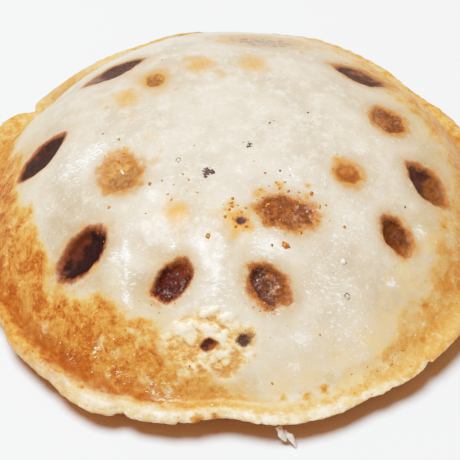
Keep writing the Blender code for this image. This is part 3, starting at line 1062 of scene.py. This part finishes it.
def flakyPatch(part, look, colour):
    flake = maskOf("crust")
    for name, amount in (("small", 0.22), ("fine", 0.12), ("scratch", 0.26)):
        flake = plus(flake, either(part[name], amount))
    folds = mixOf(spread(flake, -0.45, 0.25), look["gap"], look["valley"])
    folds = mixOf(spread(flake, -0.05, 0.6), folds, look["flake"])
    folds = mixOf(spread(flake, 0.4, 1.1), folds, look["fold"])
    return mixOf(times(maskOf("flaky"), 0.9), colour, folds)


def grooveAndEdge(part, look, colour):
    # the scorched groove, and the cream edge where the griddle didn't reach
    colour = mixOf(times(maskOf("groove"), 0.9), colour, look["crease"])
    creamy = mixOf(spread(part["milky"], 0.42, 0.62), look["cream"], look["creamLight"])
    return mixOf(maskOf("cream"), colour, creamy)


def scorchedPits(part, look, colour):
    # halos, ragged ember patches, rims and floors
    rough, rimTone, grit = part["rough"], maskOf("rimTone", "Color"), maskOf("grit")
    halo = times(maskOf("halo"), spread(part["middle"], 0.35, 0.65, 0.45, 0.8))
    colour = mixOf(halo, colour, look["halo"])
    patchy = times(maskOf("halo"), spread(part["milky"], 0.49, 0.57))
    patchy = times(times(patchy, spread(rough, 1.8, 1.12)), 0.8)
    colour = mixOf(patchy, colour, look["ember"])
    colour = mixOf(spread(rough, 1.2, 1.0, 0, 0.9), colour, rimTone)
    burnt = spread(part["small"], 0.4, 0.65, 0, 0.55)
    floor = mixOf(burnt, maskOf("tone", "Color"), look["char"], "MULTIPLY")
    flecks = times(times(spread(part["fine"], 0.52, 0.66), grit), 0.5)
    floor = mixOf(flecks, floor, rimTone)
    crumbs = times(spread(cellsOf(part["place"], 0.55)[1], 0.3, 0.75, 0.4, 0), grit)
    floor = mixOf(crumbs, floor, look["crumbs"], "MULTIPLY")
    # painted glints on the gritty floors
    floor = mixOf(times(part["glitter"], 0.5), floor, look["glint"])
    return mixOf(part["inside"], colour, floor)


def doughRoughness(part):
    rough = spread(part["middle"], 0.4, 0.65, 0.42, 0.56)
    rough = plus(rough, spread(part["toast"], 0.1, 0.5, 0, 0.06))
    rough = plus(rough, spread(part["inside"], 0, 1, 0, 0.3))
    rough = plus(rough, spread(maskOf("groove"), 0, 0.4, 0, 0.35))
    return mathOf("SUBTRACT", rough, spread(part["white"], 0.2, 0.8, 0, 0.14))


def doughMoisture(part):
    # moist on the plain dough, dry on the browned skin, with a few wet grains in the pits
    moist = spread(part["milky"], 0.4, 0.64, 0.12, 0.6)
    moist = times(moist, spread(part["toast"], 0.1, 0.6, 1.0, 0.4))
    moist = times(moist, spread(maskOf("groove"), 0, 0.6, 1, 0.1))
    moist = plus(moist, times(part["white"], 0.6), True)
    moist = times(moist, spread(part["rough"], 1.4, 1.05, 1, 0.1))
    return plus(moist, times(times(part["glitter"], part["inside"]), 0.5), True)


def doughMaterial(look):
    material, shader = newMaterial("griddled dough")
    part = sharedParts()
    colour = plainDough(part, look)
    for paint in (brownedSkin, wetGlints, flakyPatch, grooveAndEdge):
        colour = paint(part, look, colour)
    colour = addSpecks(part, colour, "pores")
    colour = addSpecks(part, colour, "specks")
    colour = addSpecks(part, colour, "slivers", part["near"])
    colour = scorchedPits(part, look, colour)
    # painted shade along the seam
    colour = mixOf(maskOf("crackShade"), colour, look["crackShadeTone"])
    underside = mixOf(spread(part["mottle"], -0.15, 0.15), *look["under"])
    feed(shader.inputs["Base Color"], mixOf(maskOf("under"), colour, underside))
    feed(shader.inputs["Roughness"], doughRoughness(part))
    feed(shader.inputs["Coat Weight"], doughMoisture(part))
    shader.inputs["Coat Roughness"].default_value = 0.2
    shader.inputs["Specular IOR Level"].default_value = 0.25
    soften(shader, look["subsurface"], look["radius"])

    # grain too fine for the mesh
    height = plus(times(part["small"], 0.6), times(part["fine"], 0.4))
    amount = plus(0.42, times(spread(part["toast"], 0.1, 0.5), 0.35))
    amount = plus(amount, times(maskOf("cream"), 0.3))
    addBump(shader, times(height, amount), *look["bump"])
    return material


def bitMaterial(name, colours, size, roughness, subsurface=0.0):
    material, shader = newMaterial(name)
    grain = noiseOf(objectPlace(), size, 3, 0.6)
    feed(shader.inputs["Base Color"], mixOf(spread(grain, 0.35, 0.65), *colours))
    feed(shader.inputs["Roughness"], spread(grain, 0.3, 0.7, roughness - 0.08, roughness + 0.08))
    soften(shader, subsurface, (0.001, 0.0008, 0.0006))
    addBump(shader, grain, 0.05, 0.5)
    return material


for item in (*pits, flaky):
    item["frame"] = spotOnDome(*item["at"])[:3]

dough = bmesh.new()
spinSection(dough)
shapeRound(dough)
makeOutlineUneven(dough)
refine(dough)
tearEdge(dough)
print("section spun:", len(dough.verts), "vertices")
paintAndPress(dough)
dough.normal_update()
surface = BVHTree.FromBMesh(dough)
pancake = finishPiece(dough, "pancake_crust", doughMaterial(doughLook))
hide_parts("pancake")
low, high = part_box("pancake")
print("the packed round is", [round(side / toMetres, 1) for side in high - low], "mm")


def onDough(bearing, distance):
    # the nearest point of the finished surface, and the way out of it
    spot, way, _, _ = surface.find_nearest(spotOnTop(bearing, distance))
    return spot, way


def standOn(way):
    # turns +Z to the way out of the surface
    return way.to_track_quat("Z", "Y").to_matrix().to_4x4()


def addBit(bm, spot, way, size, dice, flat=0.4, sink=0.3):
    # one irregular crumb, flattened against the surface
    turn = Matrix.Rotation(dice.uniform(0, 2 * pi), 4, "Z")
    made = bmesh.ops.create_icosphere(bm, subdivisions=1, radius=0.5)
    seed = Vector((dice.uniform(0, 50), dice.uniform(0, 50), 0))
    for vert in made["verts"]:
        vert.co *= 1 + 0.5 * noise.noise(vert.co * 2.2 + seed)
    width = dice.uniform(0.55, 0.95)
    matrix = Matrix.Translation(spot - way * size * flat * sink) @ standOn(way) @ turn
    matrix = matrix @ Matrix.Diagonal((size, size * width, size * flat, 1))
    bmesh.ops.transform(bm, matrix=matrix, verts=made["verts"])


def scatter(settings):
    bm = bmesh.new()
    dice = Random(settings["seed"])
    flat, sink = settings["flat"], settings["sink"]
    for (bearing, distance), reach, count, size in settings["clusters"]:
        middle, _ = onDough(bearing, distance)
        for _ in range(count):
            away = Vector((dice.gauss(0, reach), dice.gauss(0, reach), dice.gauss(0, reach * 0.3)))
            spot, way, _, _ = surface.find_nearest(middle + away)
            addBit(bm, spot, way, size * dice.uniform(0.5, 1.3), dice, flat, sink)
    for bearing, distance, size in settings["singles"]:
        addBit(bm, *onDough(bearing, distance), size, dice, flat, sink)
    return bm


toastedBits = {
    "seed": 11,
    "flat": 0.22,
    "sink": 0.15,
    "look": (((168, 90, 24), (224, 152, 66)), 0.4, 0.6),  # colours, grain size, roughness
    "clusters": (  # (bearing, distance), reach, how many, size
        ((297.5, 19), 2.6, 26, 0.55), ((300, 14.8), 1.6, 10, 0.6), ((275, 17.6), 1.3, 14, 0.6),
        ((240, 15), 2, 4, 0.5), ((193, 18), 1.4, 7, 0.55), ((252, 31), 1.4, 5, 0.45),
        ((282, 30.5), 1.8, 8, 0.5), ((337, 19), 1, 4, 0.45), ((220, 28), 1.2, 5, 0.5),
        ((248, 37.5), 3.6, 14, 0.35),
        ((226, 38), 3, 10, 0.35), ((296, 42), 2.6, 10, 0.35), ((307, 41.5), 1.4, 12, 0.4),
    ),
    "singles": (  # bearing, distance, size
        (221.8, 16.8, 0.9), (225.5, 15.1, 0.6), (233.7, 14.7, 0.5), (239.6, 12.7, 0.7), (249.6, 14.5, 0.6),
        (217.4, 23.6, 0.7), (261.2, 21.5, 1.1), (271.8, 18.3, 0.7), (277.4, 19.9, 0.8), (275.8, 17.4, 0.7),
        (272.6, 19.8, 0.6), (314.4, 18.2, 1.1), (312.5, 20.7, 0.8), (271.8, 14.8, 0.7), (291.2, 23.9, 1.7),
        (292.6, 35.6, 0.5), (279.3, 39.2, 0.6), (237, 36.3, 0.5), (252.6, 38.8, 0.6), (342.5, 35.4, 0.6),
    ),
}
toasted = finishPiece(scatter(toastedBits), "toasted_bits", bitMaterial("toasted bits", *toastedBits["look"]))

darkSpecks = {
    "seed": 5,
    "flat": 0.35,
    "sink": -0.1,
    "look": (((70, 46, 54), (126, 92, 92)), 0.3, 0.4),
    "clusters": (((250.4, 10), 0.34, 60, 0.5), ((309.8, 4.6), 0.36, 14, 0.4)),
    "singles": (
        (14.1, 6.6, 0.45), (17, 7.4, 0.3), (19.6, 13.4, 0.45), (298, 8.1, 0.3), (311, 12, 0.5),
        (338.8, 29.8, 0.45), (224.3, 36.9, 0.35), (232.2, 21.1, 0.35), (177.2, 20.4, 0.4),
        (119.5, 23, 0.35), (212.8, 6.7, 0.3), (226.1, 40.1, 0.35),
    ),
}
darkBits = finishPiece(scatter(darkSpecks), "dark_specks", bitMaterial("dark specks", *darkSpecks["look"]))

coconutShreds = {
    "seed": 21,
    "look": (((236, 224, 200), (252, 248, 238)), 0.3, 0.4, 0.2),
    # bearing, distance, length, width, turn
    "slivers": ((203.2, 18.8, 1.6, 0.45, 0.1), (324.5, 18.4, 2.0, 0.35, 0.5)),
    # bearing, distance, size, how flat, how far sunk in
    "flakes": (
        (307.5, 29, 1.4, 0.35, 0.1), (313, 13.4, 0.9, 0.35, 0.1),
        (277, 45, 0.7, 0.4, 0.2), (278.5, 45, 0.5, 0.4, 0.2),
    ),
}


def addSliver(bm, spot, way, length, width, turn, dice):
    # a thin bent sliver lying on the surface, pointed at both ends
    made = bmesh.ops.create_icosphere(bm, subdivisions=1, radius=0.5)
    bend = dice.uniform(-0.25, 0.25)
    for vert in made["verts"]:
        vert.co.y += bend * (1 - 4 * vert.co.x ** 2) / max(length / width, 1) * 2
    matrix = Matrix.Translation(spot) @ standOn(way) @ Matrix.Rotation(turn, 4, "Z")
    matrix = matrix @ Matrix.Diagonal((length, width, width * 0.5, 1))
    bmesh.ops.transform(bm, matrix=matrix, verts=made["verts"])


bm = bmesh.new()
dice = Random(coconutShreds["seed"])
for bearing, distance, length, width, turn in coconutShreds["slivers"]:
    addSliver(bm, *onDough(bearing, distance), length, width, turn, dice)
for bearing, distance, size, flat, sink in coconutShreds["flakes"]:
    addBit(bm, *onDough(bearing, distance), size, dice, flat, sink)
white = finishPiece(bm, "coconut_shreds", bitMaterial("coconut shreds", *coconutShreds["look"]))

bubbleRings = {
    "look": (((128, 108, 96), (206, 192, 174)), 0.4, 0.3, 0.2),
    "rings": ((219.9, 10.5, 0.38), (303.3, 32.8, 0.42), (245.3, 35.5, 0.45)),  # bearing, distance, radius
    "thickness": 0.3,
    "sides": 8,
    "steps": 20,
    "uneven": (0.35, 0.5),
    "sink": 0.12,
}


def addRing(bm, bearing, distance, radius):
    # the raised lip that a burst bubble left
    spot, way = onDough(bearing, distance)
    first = len(bm.verts)
    upright = Matrix.Translation((radius, 0, 0)) @ Matrix.Rotation(pi / 2, 4, "X")
    made = bmesh.ops.create_circle(
        bm, segments=bubbleRings["sides"], radius=radius * bubbleRings["thickness"], matrix=upright,
    )
    ring = made["verts"] + list({edge for vert in made["verts"] for edge in vert.link_edges})
    bmesh.ops.spin(
        bm, geom=ring, cent=(0, 0, 0), axis=(0, 0, 1), angle=2 * pi,
        steps=bubbleRings["steps"], use_merge=True,
    )
    verts = list(bm.verts)[first:]
    size, amount = bubbleRings["uneven"]
    for vert in verts:
        vert.co *= 1 + amount * noise.noise(vert.co / size + Vector((bearing, 0, 0)))
    matrix = Matrix.Translation(spot - way * radius * bubbleRings["sink"]) @ standOn(way)
    bmesh.ops.transform(bm, matrix=matrix, verts=verts)


bm = bmesh.new()
for ring in bubbleRings["rings"]:
    addRing(bm, *ring)
bmesh.ops.remove_doubles(bm, verts=bm.verts, dist=0.001)
bmesh.ops.recalc_face_normals(bm, faces=bm.faces)
rings = finishPiece(bm, "bubble_rings", bitMaterial("bubble rings", *bubbleRings["look"]))

coconutFlake = {
    "look": (((226, 218, 202), (250, 247, 240)), 0.6, 0.3, 0.4),
    # two strands from under the brim: points with the half width at each
    "strands": (
        ((7.3, -43.9, 3.1, 0.5), (7.6, -44.4, 2.8, 0.42), (7.8, -44.7, 2.2, 0.55), (8.2, -45, 1.6, 0.45),
         (8.6, -45.2, 1, 0.08)),
        ((8.2, -44.2, 2.6, 0.3), (8.5, -44.6, 2.3, 0.3), (9, -44.8, 2, 0.55), (9.4, -45.1, 1.4, 0.42),
         (9.8, -45.5, 0.8, 0.22), (10, -45.8, 0.3, 0.06)),
    ),
    "sides": 10,
    "steps": 3,
    "facing": Vector((0, -cos(radians(45)), sin(radians(45)))),
    "thickness": 0.5,  # next to the width
    "rough": 0.15,
}


def seatRing(verts, knot, width, side):
    # lays a ring of the strand across it, thinner than it is wide
    for count, vert in enumerate(verts):
        turn = 2 * pi * count / len(verts)
        rough = 1 + coconutFlake["rough"] * noise.noise(knot * 3 + Vector((count, 0, 0)))
        thick = coconutFlake["facing"] * sin(turn) * coconutFlake["thickness"]
        vert.co = knot + rough * width * (side * cos(turn) + thick)


def nextRing(bm, face, ring):
    # pulls the strand's end face one ring further, and gives the new face and its ring in the same order
    made = bmesh.ops.extrude_face_region(bm, geom=[face])
    newFace = next(item for item in made["geom"] if isinstance(item, bmesh.types.BMFace))
    ringOf = {}
    for vert in newFace.verts:
        for edge in vert.link_edges:
            if edge.other_vert(vert) in face.verts:
                ringOf[edge.other_vert(vert)] = vert
    ordered = [ringOf[vert] for vert in ring]
    bmesh.ops.delete(bm, geom=[face], context="FACES_ONLY")
    return newFace, ordered


bm = bmesh.new()
steps = coconutFlake["steps"]
for points in coconutFlake["strands"]:
    knots = [Vector(point[:3]) for point in points]
    widths = [point[3] for point in points]
    ring = bmesh.ops.create_circle(bm, cap_ends=True, segments=coconutFlake["sides"], radius=1)["verts"]
    face = ring[0].link_faces[0]
    side = (knots[1] - knots[0]).normalized().cross(coconutFlake["facing"]).normalized()
    seatRing(ring, knots[0], widths[0], side)
    for start in range(len(points) - 1):
        for step in range(1, steps + 1):
            share = step / steps
            face, ring = nextRing(bm, face, ring)
            width = widths[start] * (1 - share) + widths[start + 1] * share
            seatRing(ring, knots[start].lerp(knots[start + 1], share), width, side)
bmesh.ops.recalc_face_normals(bm, faces=bm.faces)
flake = finishPiece(bm, "coconut_flake_shred", bitMaterial("coconut", *coconutFlake["look"]))
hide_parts("coconut_flake")
print("bits made")

studio = {
    "floorSize": 3.0,
    "floorColours": ((238, 238, 238), (241, 242, 243)),
    "lampSize": 0.5,
    "lampPlace": (-0.2, 0.0, 0.93),
    "lampPower": 11.9,
    "lampColour": (0.76, 0.91, 1.0),
    "sky": (1.0, 0.55, 0.22),
    "skyStrength": 0.36,
    "brightest": 1.7,
    "whitest": 0.99,
    "rollOff": ((0.2, 0.2), (0.4, 0.43), (0.6, 0.62), (0.8, 0.76), (0.95, 0.835), (1.15, 0.92)),
    "cameraTilt": 45.5,
    "cameraDistance": 0.3,
    "aimHeight": 0.006,
    "aimDown": 0.795,
    "focal": 140.95,
}

material, shader = newMaterial("floor")
paper = noiseOf(objectPlace(), 60, 2)
feed(shader.inputs["Base Color"], mixOf(paper, *studio["floorColours"]))
shader.inputs["Roughness"].default_value = 0.7
shader.inputs["Specular IOR Level"].default_value = 0.2
bm = bmesh.new()
bmesh.ops.create_grid(bm, x_segments=1, y_segments=1, size=studio["floorSize"] / 2)
floorSheet = addObject("floor", meshFrom(bm, "floor", material))

world = bpy.data.worlds.new("studio")
world.use_nodes = True
world.node_tree.nodes["Background"].inputs["Color"].default_value = (*studio["sky"], 1)
world.node_tree.nodes["Background"].inputs["Strength"].default_value = studio["skyStrength"]
bpy.context.scene.world = world

lamp = bpy.data.lights.new("softbox", "AREA")
lamp.shape = "DISK"
lamp.size = studio["lampSize"]
lamp.energy = studio["lampPower"]
lamp.color = studio["lampColour"]
softbox = addObject("softbox", lamp)
softbox.location = studio["lampPlace"]
softbox.rotation_euler = (-Vector(studio["lampPlace"])).to_track_quat("-Z", "Y").to_euler()

lens = bpy.data.cameras.new("camera")
lens.sensor_width = 36
lens.lens = studio["focal"]
lens.clip_start, lens.clip_end = 0.01, 10
camera = addObject("camera", lens)
tilt = radians(studio["cameraTilt"])
distance = studio["cameraDistance"]
camera.location = (0, -cos(tilt) * distance, sin(tilt) * distance + studio["aimHeight"])
down = tilt + radians(studio["aimDown"])
camera.rotation_euler = Vector((0, cos(down), -sin(down))).to_track_quat("-Z", "Y").to_euler()
bpy.context.scene.camera = camera

# the camera's own curve: highlights roll off softly
viewing = bpy.context.scene.view_settings
viewing.view_transform = "Standard"
viewing.use_curve_mapping = True
viewing.curve_mapping.white_level = (studio["brightest"],) * 3
rollOff = viewing.curve_mapping.curves[3]
for given, shown in studio["rollOff"]:
    rollOff.points.new(given / studio["brightest"], shown)
rollOff.points[-1].location = (1, studio["whitest"])
viewing.curve_mapping.update()
